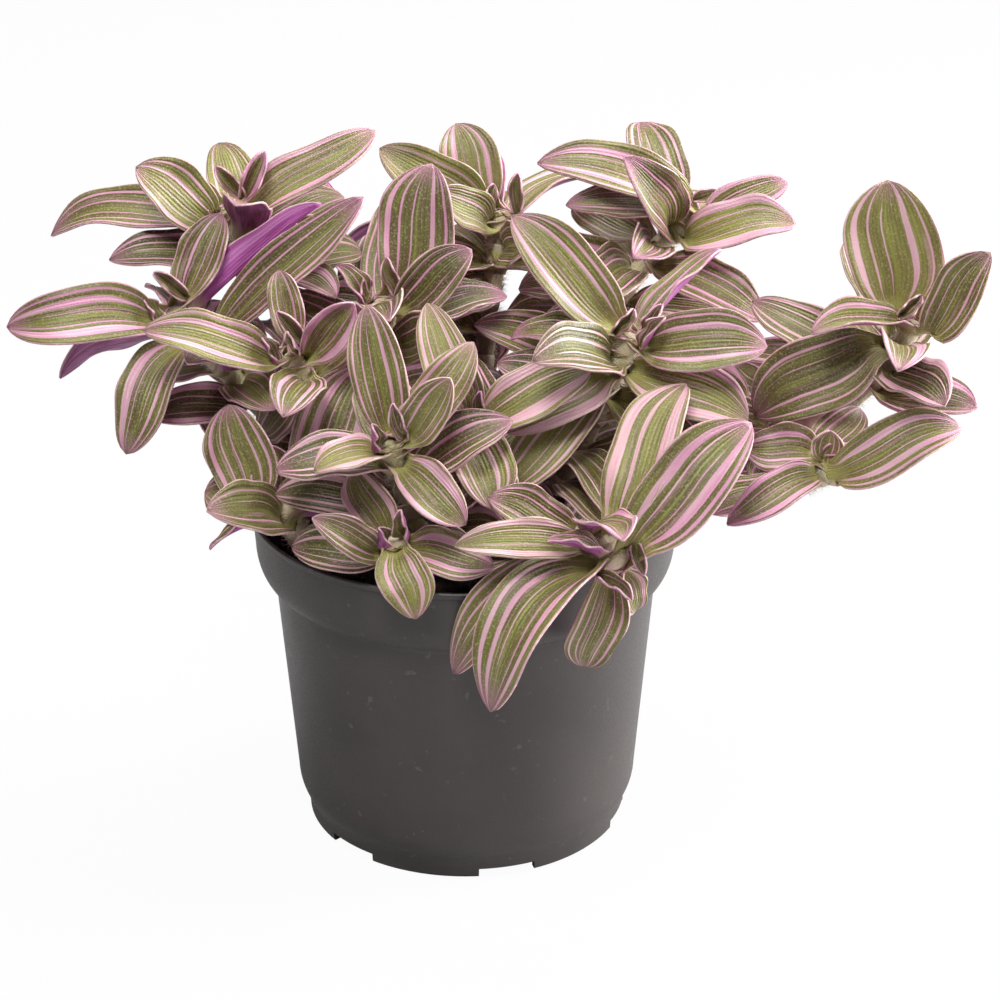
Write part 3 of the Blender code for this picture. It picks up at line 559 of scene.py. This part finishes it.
class Blade:
    """A leaf in its place: where it leaves the stem, where it ends, and which way it faces."""

    def __init__(self, leaf, shoot, route, tip):
        self.leaf = leaf
        self.tip = tip
        self.node, self.axis = along_from_tip(route, leaf.below_tip * MM)
        self.stem_radius = shoot.radius * MM
        outward = tip - self.node
        self.outward = (outward - outward.dot(self.axis) * self.axis).normalized()
        chord = (tip - self.node).normalized()
        up = facing(leaf)
        self.up = (up - up.dot(chord) * chord).normalized()
        half_base = max(blade_profile(0) * leaf.width * MM / 2, BASE_HALF_WIDTH_LEAST)
        across = chord.cross(self.up)
        reach = self.stem_radius + abs(across.dot(self.outward)) * half_base + CAD_THICKNESS + GAP
        self.start = self.node + reach * self.outward
        self.length = (tip - self.start).length
        self.random = random.Random(f"{shoot.name} {leaf.name}")
        self.waves = [(self.random.uniform(0.6, 1.2), self.random.uniform(0, 6.3)) for _ in range(2)]
        self.sway = self.random.uniform(-0.035, 0.035)
        self.curl = self.random.uniform(-0.1, 0.5)

    def point(self, across, along, ripple=1.0):
        leaf = self.leaf
        span = self.tip - self.start
        chord = span / self.length
        up = (self.up - self.up.dot(chord) * chord).normalized()
        bow = 4 * leaf.arch
        middle = self.start + span * along + up * (bow * along * (1 - along) * self.length)
        tangent = (chord + up * (bow * (1 - 2 * along))).normalized()
        up_here = (up - up.dot(tangent) * tangent).normalized()
        side = tangent.cross(up_here)
        fold = math.radians(leaf.fold + EXTRA_FOLD + BASE_FOLD * (1 - along) ** 4)
        half = max(blade_profile(along) * leaf.width * MM / 2, TIP_HALF_WIDTH)
        place = middle + side * (half * across * math.cos(fold))
        place += up_here * (half * abs(across) * math.sin(fold))
        if ripple:
            place += self.ripple(across, along, half, side, up_here) * ripple
        return place

    def ripple(self, across, along, half, side, up_here):
        """The blade's cupped halves, wavy edges and gentle sideways sway."""
        edge = abs(across)
        lift = -0.10 * half * math.sin(math.pi * edge) * math.sin(math.pi * along)
        turns, phase = self.waves[across > 0]
        wave = EDGE_WAVE * edge**3 * math.sin(math.pi * along) * math.sin(WAVES * turns * along + phase)
        drift = self.sway * self.length * math.sin(2 * math.pi * along)
        curl = -self.curl * self.length * max(0, along - 0.6) ** 2
        return up_here * (lift + wave + curl) + side * drift

    def clasping_point(self, across, along):
        """The same point, but at the base drawn round the stem."""
        blade = self.point(across, along)
        share = min(1, along / CLASP)
        share = share * share * (3 - 2 * share)
        if share >= 1:
            return blade
        turn = CLASP_TURN * across
        sideways = self.axis.cross(self.outward)
        radius = self.stem_radius + 0.4 * MM + 1.2 * MM * share
        rise = (-1.5 * MM + 3 * MM * share) * (1 - abs(across) ** 2) + 1.2 * MM * abs(across)
        ring = self.node + (self.outward * math.cos(turn) + sideways * math.sin(turn) * self.hand) * radius
        return (ring + self.axis * rise).lerp(blade, share)

    @property
    def hand(self):
        chord = (self.tip - self.start).normalized()
        side = chord.cross(self.up)
        return 1 if side.dot(self.axis.cross(self.outward)) >= 0 else -1

    def sheets(self):
        """A search tree of the blade's two sides, each a clearance outside the real surface."""
        rows, columns = 8, 4
        lift = CAD_THICKNESS / 2 + CLEARANCE
        points = []
        for offset in (lift, -lift):
            for row in range(rows):
                for column in range(columns + 1):
                    place = self.point(2 * column / columns - 1, row / (rows - 1), 0)
                    points.append(place + self.up * offset)
        faces = []
        for first in (0, rows * (columns + 1)):
            for row in range(rows - 1):
                for column in range(columns):
                    a = first + row * (columns + 1) + column
                    faces.append((a, a + 1, a + columns + 2, a + columns + 1))
        return BVHTree.FromPolygons(points, faces)

    def stripes(self):
        flip = self.random.choice((-1, 1))
        shift = self.random.uniform(-0.04, 0.04)
        for centre, half, reach in LOOKS[self.leaf.look]:
            yield flip * centre + shift, half * self.random.uniform(0.5, 1.1), reach
        for _ in range(STRIPES - len(LOOKS[self.leaf.look])):
            yield NO_STRIPE


def add_blade(bm, blade, layers):
    """One blade's grid added to a mesh, with what its material reads."""
    rows, columns = BLADE_ROWS, BLADE_COLUMNS
    stripes = list(blade.stripes())
    seed = blade.random.uniform(0, 50)
    grid = []
    for row in range(rows + 1):
        along = (row / rows) ** 1.15
        line = []
        for column in range(columns + 1):
            across = 2 * column / columns - 1
            vert = bm.verts.new(blade.clasping_point(across, along))
            vert[layers["blade"]] = (across, along, seed)
            vert[layers["blade_look"]] = (blade.leaf.tone, blade.leaf.blush, 0)
            for index, stripe in enumerate(stripes):
                vert[layers[f"stripe_{index + 1}"]] = stripe
            line.append(vert)
        grid.append(line)
    for low, high in zip(grid, grid[1:]):
        for column in range(columns):
            face = bm.faces.new((low[column], low[column + 1], high[column + 1], high[column]))
            face.smooth = True


def build_leaves(name, blades, materials):
    bm = bmesh.new()
    names = ["blade", "blade_look", *(f"stripe_{index + 1}" for index in range(STRIPES))]
    layers = {key: bm.verts.layers.float_vector.new(key) for key in names}
    for blade in blades:
        add_blade(bm, blade, layers)
    mesh = bpy.data.meshes.new(name)
    bm.to_mesh(mesh)
    bm.free()
    obj = add_object(name, mesh, *materials)
    solid = obj.modifiers.new("Thickness", "SOLIDIFY")
    solid.thickness = BLADE_THICKNESS
    solid.offset = -1
    solid.material_offset = 1
    solid.material_offset_rim = 2
    return obj


def tube(bm, points, radii, sides):
    """A closed tube along the points, whose rings turn with it and don't twist."""
    rings = []
    first = (points[1] - points[0]).normalized().orthogonal()
    for index, (point, radius) in enumerate(zip(points, radii)):
        ahead = points[min(index + 1, len(points) - 1)] - points[max(index - 1, 0)]
        ahead.normalize()
        first = (first - first.dot(ahead) * ahead).normalized()
        second = ahead.cross(first)
        rings.append([
            bm.verts.new(point + radius * (first * math.cos(t) + second * math.sin(t)))
            for t in (2 * math.pi * side / sides for side in range(sides))
        ])
    for low, high in zip(rings, rings[1:]):
        for side in range(sides):
            face = bm.faces.new((low[side], low[(side + 1) % sides], high[(side + 1) % sides], high[side]))
            face.smooth = True
    bm.faces.new(reversed(rings[0]))
    bm.faces.new(rings[-1])


def build_stem(shoot, blades, material, sheath_material):
    """The stem swells at each node, and a pale sheath wraps it below each leaf."""
    route = stem_route(shoot, 2 * MM)
    length = sum((b - a).length for a, b in zip(route, route[1:]))
    walked = 0
    radii = []
    for before, point in zip([route[0], *route], route):
        walked += (point - before).length
        below = (length - walked) / MM
        offsets = [(below - leaf.below_tip - SWELL_CENTRE) / SWELL_REACH for leaf in shoot.leaves]
        swell = max(math.exp(-(offset**2)) for offset in offsets)
        narrowing = 0.3 + 0.7 * min(1, below / 3)
        radii.append(shoot.radius * MM * (1 - SWELL + SWELL * swell) * narrowing)
    bm = bmesh.new()
    tube(bm, route, radii, STEM_SIDES)
    plain_faces = len(bm.faces)
    for blade in blades:
        if blade.leaf.width >= SHEATH_LEAST_WIDTH:
            points = [blade.node + blade.axis * (height * MM) for height, _ in SHEATH]
            tube(bm, points, [blade.stem_radius * share for _, share in SHEATH], STEM_SIDES)
    bm.faces.ensure_lookup_table()
    for face in bm.faces[plain_faces:]:
        face.material_index = 1
    mesh = bpy.data.meshes.new(shoot.name)
    bm.to_mesh(mesh)
    bm.free()
    obj = add_object(f"{shoot.name}_stem", mesh, material, sheath_material)
    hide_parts(f"stem_{shoot.name}")
    return obj


def build_hairs(blades, material):
    """Fine white hairs on the sheaths and at the bases of the blades."""
    rng = random.Random(4)
    bm = bmesh.new()
    for blade in blades:
        for _ in range(int(HAIRS_PER_MM * blade.leaf.width)):
            turn = rng.uniform(0, 2 * math.pi)
            sideways = blade.axis.cross(blade.outward)
            out = blade.outward * math.cos(turn) + sideways * math.sin(turn)
            root = blade.node + out * blade.stem_radius * 1.15 + blade.axis * rng.uniform(-7, 2) * MM
            lean = out + blade.axis * rng.uniform(-0.4, 0.9) + sideways * rng.uniform(-0.3, 0.3)
            lean.normalize()
            length = rng.uniform(0.8, 2.6) * MM
            side = lean.orthogonal().normalized() * HAIR_RADIUS
            other = lean.cross(side)
            corners = [bm.verts.new(root + v) for v in (side, other - side * 0.5, -other - side * 0.5)]
            end = bm.verts.new(root + lean * length)
            for a, b in ((0, 1), (1, 2), (2, 0)):
                bm.faces.new((corners[a], corners[b], end))
            bm.faces.new(reversed(corners))
    mesh = bpy.data.meshes.new("hairs")
    bm.to_mesh(mesh)
    bm.free()
    obj = add_object("fine_hairs", mesh, material)


def arc(centre, radii, start, end, count):
    for step in range(count):
        angle = math.radians(start + (end - start) * step / (count - 1))
        yield centre[0] + radii[0] * math.cos(angle), centre[1] + radii[1] * math.sin(angle)


def pot_outline():
    """The pot's outer side from the rim down to the foot, finer than part.py's."""
    step = POT_HEIGHT - COLLAR_HEIGHT
    flare = 0.5 * COLLAR_HEIGHT
    bulge = RIM_RADIUS - 0.8 * MM
    yield RIM_RADIUS - 0.3 * MM, POT_HEIGHT
    yield RIM_RADIUS, POT_HEIGHT - 0.3 * MM
    yield RIM_RADIUS, POT_HEIGHT - 1.3 * MM
    yield RIM_RADIUS - 0.3 * MM, POT_HEIGHT - 1.7 * MM
    yield bulge, POT_HEIGHT - 2.2 * MM
    yield from arc((STEP_RADIUS, step + flare), (bulge - STEP_RADIUS - 0.6 * MM, flare), 0, -70, 14)
    yield STEP_RADIUS + 0.5 * MM, step + 0.25 * MM
    yield STEP_RADIUS, step - 0.3 * MM
    yield STEP_RADIUS - 0.1 * MM, step - 1.5 * MM
    yield from arc((HEEL_RADIUS - HEEL_HEIGHT, HEEL_HEIGHT), (HEEL_HEIGHT, HEEL_HEIGHT), 0, -30, 9)
    yield FOOT_RADIUS + 0.2 * MM, FLOOR_LIFT + 0.6 * MM
    yield FOOT_RADIUS, 0.4 * MM
    yield FOOT_RADIUS - 0.4 * MM, 0


def build_pot(material):
    outside = list(pot_outline())
    floor_top = FLOOR_LIFT + WALL
    inside = [(radius - WALL, height) for radius, height in outside if height > floor_top + WALL]
    inside[0] = (RIM_RADIUS - WALL + 0.3 * MM, POT_HEIGHT)
    profile = [
        *outside,
        (FOOT_RADIUS - 2 * WALL, 0),
        (FOOT_RADIUS - 2 * WALL, FLOOR_LIFT),
        (CENTRE_PAD_RADIUS, FLOOR_LIFT),
        (CENTRE_PAD_RADIUS, 0),
        (0, 0),
        (0, floor_top),
        (inside[-1][0] - WALL, floor_top),
        *reversed(inside),
        outside[0],
    ]
    mesh = bpy.data.meshes.new("nursery_pot")
    points = [(radius, 0, height) for radius, height in profile]
    mesh.from_pydata(points, [(i, i + 1) for i in range(len(points) - 1)], [])
    obj = add_object("nursery_pot", mesh, material)
    screw = obj.modifiers.new("Turn", "SCREW")
    screw.steps = POT_STEPS
    screw.render_steps = POT_STEPS
    screw.use_merge_vertices = True
    screw.merge_threshold = 0.00001
    screw.use_smooth_shade = True
    bm = bmesh.new()
    for index in range(NOTCHES):
        angle = math.radians(FIRST_NOTCH_DEGREES + 360 * index / NOTCHES)
        made = bmesh.ops.create_cube(bm, size=1)["verts"]
        for vert in made:
            x = vert.co.x * NOTCH_DEPTH + FOOT_RADIUS
            y = vert.co.y * NOTCH_WIDTH
            z = vert.co.z * 2 * (FLOOR_LIFT - GAP)
            cosine, sine = math.cos(angle), math.sin(angle)
            vert.co = (x * cosine - y * sine, x * sine + y * cosine, z)
    cutter_mesh = bpy.data.meshes.new("foot_notches")
    bm.to_mesh(cutter_mesh)
    bm.free()
    cutter = bpy.data.objects.new("foot_notches", cutter_mesh)
    bpy.context.scene.collection.objects.link(cutter)
    boolean = obj.modifiers.new("Cut", "BOOLEAN")
    boolean.operation = "DIFFERENCE"
    boolean.object = cutter
    bpy.context.view_layer.update()
    shown = bpy.data.meshes.new_from_object(obj.evaluated_get(bpy.context.evaluated_depsgraph_get()))
    obj.modifiers.clear()
    obj.data = shown
    bpy.data.objects.remove(cutter)
    shown.set_sharp_from_angle(angle=math.radians(40))
    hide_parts("pot")


def build_soil(material):
    """A lumpy disc of mix with loose crumbs on it, over the CAD mix's own body."""
    bm = bmesh.new()
    rings, sides = 46, 140
    radius = RIM_RADIUS - 6.2 * MM
    rows = []
    for ring in range(1, rings + 1):
        reach = radius * ring / rings
        rows.append([
            (reach * math.cos(2 * math.pi * s / sides), reach * math.sin(2 * math.pi * s / sides))
            for s in range(sides)
        ])

    def height(x, y):
        place = Vector((x, y, 0)) * 1000
        lumps = noise.fractal(place * 0.28, 0.9, 2.2, 5) * 1.1 + noise.noise(place * 0.07) * 1.6
        return SOIL_TOP - 1.2 * MM + lumps * MM

    middle = bm.verts.new((0, 0, height(0, 0)))
    grid = [[bm.verts.new((x, y, height(x, y))) for x, y in row] for row in rows]
    for s in range(sides):
        bm.faces.new((middle, grid[0][s], grid[0][(s + 1) % sides]))
        for low, high in zip(grid, grid[1:]):
            bm.faces.new((low[s], high[s], high[(s + 1) % sides], low[(s + 1) % sides]))
    skirt = [bm.verts.new((v.co.x * 0.97, v.co.y * 0.97, SOIL_TOP - 8 * MM)) for v in grid[-1]]
    for s in range(sides):
        bm.faces.new((grid[-1][s], skirt[s], skirt[(s + 1) % sides], grid[-1][(s + 1) % sides]))
    bm.faces.new(reversed(skirt))
    rng = random.Random(11)
    for _ in range(CRUMBS):
        turn, reach = rng.uniform(0, 2 * math.pi), radius * 0.97 * math.sqrt(rng.random())
        x, y = reach * math.cos(turn), reach * math.sin(turn)
        size = rng.uniform(0.4, 1.5) * MM
        made = bmesh.ops.create_icosphere(bm, subdivisions=1, radius=size)["verts"]
        stretch = Vector((rng.uniform(0.6, 1.6), rng.uniform(0.6, 1.6), rng.uniform(0.4, 0.9)))
        for vert in made:
            vert.co = vert.co * stretch * rng.uniform(0.85, 1.15) + Vector((x, y, height(x, y) + 0.3 * size))
    for face in bm.faces:
        face.smooth = True
    mesh = bpy.data.meshes.new("mix")
    bm.to_mesh(mesh)
    bm.free()
    obj = add_object("mix_surface", mesh, material)
    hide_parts("potting_mix")


# ---- Putting the plant together --------------------------------------------------------------


def cad_tip(shoot, leaf, route):
    """Where the CAD leaf ends: the middle of its points that lie furthest from its stem."""
    node, _ = along_from_tip(route, leaf.below_tip * MM)
    obj = bpy.data.objects[f"leaf_{shoot.name}_{leaf.name}"]
    points = [obj.matrix_world @ vert.co for vert in obj.data.vertices]
    far = max((point - node).length for point in points)
    ends = [point for point in points if (point - node).length > far - 0.7 * MM]
    return sum(ends, Vector()) / len(ends)


def node_tree_of(name):
    obj = bpy.data.objects[name]
    return BVHTree.FromPolygons(
        [obj.matrix_world @ vert.co for vert in obj.data.vertices],
        [tuple(face.vertices) for face in obj.data.polygons],
    )


def settle(leaf, shoot, route, placed):
    best = None
    for move in SETTLING:
        blade = Blade(leaf, shoot, route, (Vector(leaf.tip) + Vector(move)) * MM)
        tree = blade.sheets()
        crossings = sum(len(tree.overlap(other)) for other in placed)
        if best is None or crossings < best[0]:
            best = (crossings, blade, tree)
        if crossings == 0:
            break
    return best


def tip_buds(shoot, route):
    """Two rolled young leaves that stand at the end of a shoot, one round the other."""
    apex, axis = along_from_tip(route, 0)
    side = axis.cross(Vector((0.3, -1, 0.2))).normalized()
    for index, (length, lean, width) in enumerate(((12, 3.5, 7), (8.5, -3, 6))):
        tip = apex / MM + axis * length + side * lean
        leaf = Leaf(f"bud_{index}", 0, tuple(tip), width, 0.05, 40, 0, 52, "plain", 0.45, 0.85)
        yield Blade(leaf, shoot, route, tip * MM)


def inner_leaf(shoot, node, below_tip, index, rng):
    """A leaf lower on the stem, reaching sideways and up into the mound."""
    turn = math.radians(INNER_TURN * index + rng.uniform(-50, 50))
    length = rng.uniform(26, 40)
    rise = rng.uniform(-0.05, 0.75)
    direction = Vector((math.cos(turn), math.sin(turn), rise)).normalized()
    tip = node / MM + direction * (length + shoot.radius)
    look = rng.choice(("bold", "fine", "margin", "plain", "fine"))
    # Their tone is drawn low, 0 to 0.4, as painted shade: the leaves deep in the mound are made darker than
    # the outer ones, where shade falls between them.
    return Leaf(
        f"inner_{index}", below_tip, tuple(tip), rng.uniform(13, 18), rng.uniform(0.08, 0.2),
        rng.uniform(20, 55), rng.uniform(-20, 20), rng.uniform(6, 14), look,
        rng.uniform(0.0, 0.4), rng.uniform(0.2, 0.8),
    )


def inside_box(blade):
    low, high = cad_box
    for row in range(5):
        for across in (-1, 0, 1):
            place = blade.point(across, row / 4, 0)
            if any(place[axis] < low[axis] + MM or place[axis] > high[axis] - MM for axis in range(3)):
                return False
            if place.z < SOIL_TOP + SOIL_CLEARANCE and place.xy.length < RIM_RADIUS + 2 * MM:
                return False
    return True


def grow_inner(shoot, route, placed):
    """Leaves all the way down the stem, each kept only where it has room."""
    rng = random.Random(f"inner {shoot.name}")
    length = sum((b - a).length for a, b in zip(route, route[1:])) / MM
    grown = []
    index = 0
    below_tip = INNER_FIRST
    while below_tip < length - INNER_LAST:
        node, _ = along_from_tip(route, below_tip * MM)
        for _ in range(INNER_LEAVES):
            index += 1
            for _ in range(INNER_TRIES):
                leaf = inner_leaf(shoot, node, below_tip, index, rng)
                blade = Blade(leaf, shoot, route, Vector(leaf.tip) * MM)
                if not inside_box(blade):
                    continue
                tree = blade.sheets()
                if not any(tree.overlap(other) for other in placed):
                    placed.append(tree)
                    grown.append(blade)
                    break
        below_tip += INNER_STEP
    return grown


def build_plant():
    fixed = ["pot", *(f"stem_{shoot.name}" for shoot in SHOOTS)]
    placed = [node_tree_of(name) for name in fixed]
    materials = (leaf_top(), leaf_under(), leaf_edge())
    skin, sheath = stem_skin(), sheath_skin()
    every = {shoot.name: [] for shoot in SHOOTS}
    for shoot in SHOOTS:
        route = stem_route(shoot)
        for leaf in shoot.leaves:
            if leaf.tip is None:
                blade = Blade(leaf, shoot, route, cad_tip(shoot, leaf, route))
                placed.append(blade.sheets())
                every[shoot.name].append(blade)
    small = {}
    for shoot in SHOOTS:
        route = stem_route(shoot)
        small[shoot.name] = []
        for leaf in shoot.leaves:
            if leaf.tip is not None:
                _, blade, tree = settle(leaf, shoot, route, placed)
                placed.append(tree)
                small[shoot.name].append(blade)
    for shoot in SHOOTS:
        route = stem_route(shoot)
        inner = grow_inner(shoot, route, placed) + list(tip_buds(shoot, route))
        for blade in every[shoot.name]:
            obj = build_leaves(f"{shoot.name}_leaf_{blade.leaf.name}", [blade], materials)
            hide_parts(f"leaf_{shoot.name}_{blade.leaf.name}")
        build_leaves(f"{shoot.name}_young_leaves", small[shoot.name], materials)
        build_leaves(f"{shoot.name}_inner_leaves", inner, materials)
        every[shoot.name] += small[shoot.name] + inner
        build_stem(shoot, every[shoot.name], skin, sheath)
    build_hairs([blade for blades in every.values() for blade in blades], hair_white())


# ---- Floor, light and camera -----------------------------------------------------------------


def white_surface(name, lift):
    """A white floor that looks white to the camera, and still takes the plant's shadow."""
    material = bpy.data.materials.new(name)
    material.use_nodes = True
    tree = material.node_tree
    shader = tree.nodes["Principled BSDF"]
    shader.inputs["Base Color"].default_value = (0.5, 0.5, 0.5, 1)
    shader.inputs["Roughness"].default_value = 0.9
    glow = tree.nodes.new("ShaderNodeEmission")
    glow.inputs["Strength"].default_value = 1.0
    path = tree.nodes.new("ShaderNodeLightPath")
    seen = tree.nodes.new("ShaderNodeMath")
    seen.operation = "MULTIPLY"
    seen.inputs[1].default_value = lift
    mix = tree.nodes.new("ShaderNodeMixShader")
    tree.links.new(path.outputs["Is Camera Ray"], seen.inputs[0])
    tree.links.new(seen.outputs[0], mix.inputs[0])
    tree.links.new(shader.outputs[0], mix.inputs[1])
    tree.links.new(glow.outputs[0], mix.inputs[2])
    tree.links.new(mix.outputs[0], tree.nodes["Material Output"].inputs["Surface"])
    return material


def build_stage():
    bpy.ops.mesh.primitive_plane_add(size=6, location=(0, 0, -0.0005))
    floor = bpy.context.object
    floor.name = "floor"
    floor.data.materials.append(white_surface("floor_white", 0.96))
    world = bpy.data.worlds.new("studio")
    bpy.context.scene.world = world
    world.use_nodes = True
    tree = world.node_tree
    background = tree.nodes["Background"]
    path = tree.nodes.new("ShaderNodeLightPath")
    seen = tree.nodes.new("ShaderNodeMath")
    seen.operation = "MAXIMUM"
    tree.links.new(path.outputs["Is Camera Ray"], seen.inputs[0])
    tree.links.new(path.outputs["Is Transmission Ray"], seen.inputs[1])
    strength = tree.nodes.new("ShaderNodeMapRange")
    strength.inputs["To Min"].default_value = 0.14
    strength.inputs["To Max"].default_value = 1.0
    tree.links.new(seen.outputs[0], strength.inputs["Value"])
    tree.links.new(strength.outputs[0], background.inputs["Strength"])
    background.inputs["Color"].default_value = (1, 1, 1, 1)


def add_light(name, place, target, size, power):
    data = bpy.data.lights.new(name, "AREA")
    data.shape = "RECTANGLE"
    data.size, data.size_y = size
    data.energy = power
    obj = bpy.data.objects.new(name, data)
    obj.location = place
    obj.rotation_euler = (Vector(target) - Vector(place)).to_track_quat("-Z", "Y").to_euler()
    bpy.context.scene.collection.objects.link(obj)


def build_lights():
    middle = (0, 0, 0.12)
    add_light("key", (-0.15, -0.6, 1.25), middle, (0.45, 0.45), 13.5)
    add_light("right_box", (1.0, 0.25, 0.5), middle, (0.6, 0.9), 34)
    add_light("left_box", (-1.1, 0.2, 0.5), middle, (0.7, 0.9), 0.6)
    add_light("top", (0.1, 0.4, 1.2), middle, (0.6, 0.6), 10)


def build_camera():
    data = bpy.data.cameras.new("camera")
    data.sensor_width = 36
    data.lens = CAMERA_LENS
    camera = bpy.data.objects.new("camera", data)
    away = Vector((0, -math.cos(CAMERA_ELEVATION), math.sin(CAMERA_ELEVATION)))
    camera.location = CAMERA_TARGET + CAMERA_DISTANCE * away
    camera.rotation_euler = (math.pi / 2 - CAMERA_ELEVATION, 0, 0)
    bpy.context.scene.collection.objects.link(camera)
    bpy.context.scene.camera = camera


build_camera()
build_stage()
build_lights()
build_pot(pot_plastic())
build_soil(soil_mix())
build_plant()
bpy.context.scene.view_settings.view_transform = "Standard"
